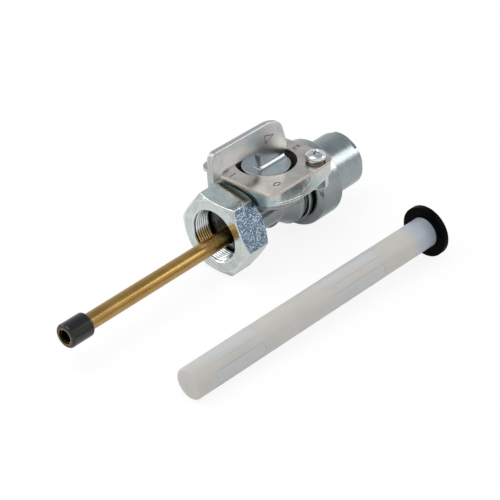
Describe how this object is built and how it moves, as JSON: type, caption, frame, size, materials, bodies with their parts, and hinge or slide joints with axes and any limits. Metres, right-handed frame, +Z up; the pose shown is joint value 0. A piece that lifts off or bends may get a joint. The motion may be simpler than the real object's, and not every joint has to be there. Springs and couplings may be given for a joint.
{
  "type": "fuel tap",
  "caption": "Lever fuel tap with hexagon union nut, brass standpipe, sediment cup and side hose outlet, lying on its side with its nylon tank strainer and gasket taken off beside it.",
  "frame": {"origin": "centre of the mouth of the union nut, on the tap's own axis", "axes": "+X along the tap from the union nut to the sediment cup, +Y the way the hose outlet points, +Z up, towards the lever"},
  "size_m": [0.1367, 0.0844, 0.0458],
  "materials": {
    "nut_steel": "bright zinc plate, satin",
    "body_zinc": "zinc die casting, plated, faintly iridescent",
    "spigot_zinc": "turned, plated",
    "pipe_brass": "drawn tube, glossy",
    "black_plastic": "smooth black",
    "lever_zinc": "zinc die casting, satin plate",
    "plate_nickel": "nickelled, warm tint",
    "screw_nickel": "bright nickel",
    "spring_steel": "blackened",
    "seal_rubber": "matt black",
    "cup_steel": "turned and plated, glossy",
    "screen_nylon": "natural nylon",
    "strainer_nylon": "natural nylon, milky translucent",
    "mesh_nylon": "woven gauze"
  },
  "bodies": {
    "tap": {"inlet_spigot": "spigot_zinc", "standpipe": "pipe_brass", "standpipe_cap": "black_plastic", "tap_body": "body_zinc", "outlet_nipple": "spigot_zinc", "valve_packing": "seal_rubber", "spring_washer": "spring_steel", "lever_plate": "plate_nickel", "plate_screw_front": "screw_nickel", "plate_screw_rear": "screw_nickel", "sediment_cup": "cup_steel", "cup_seal_ring": "seal_rubber", "bowl_screen": "screen_nylon", "strainer_frame": "strainer_nylon", "strainer_mesh_end": "mesh_nylon", "strainer_mesh_middle": "mesh_nylon", "strainer_gasket": "seal_rubber"},
    "lever": {"lever": "lever_zinc", "lever_seal_ring": "seal_rubber"},
    "nut": {"union_nut": "nut_steel"}
  },
  "joints": [
    {"name": "lever_turn", "type": "hinge", "parent": "tap", "child": "lever", "pos_m": [0.0276, 0, 0.0156], "axis": [0, 0, 1], "range_deg": [-180, 0]},
    {"name": "nut_turn", "type": "hinge", "parent": "tap", "child": "nut", "pos_m": [0.0124, 0, 0], "axis": [1, 0, 0], "continuous": true}
  ]
}
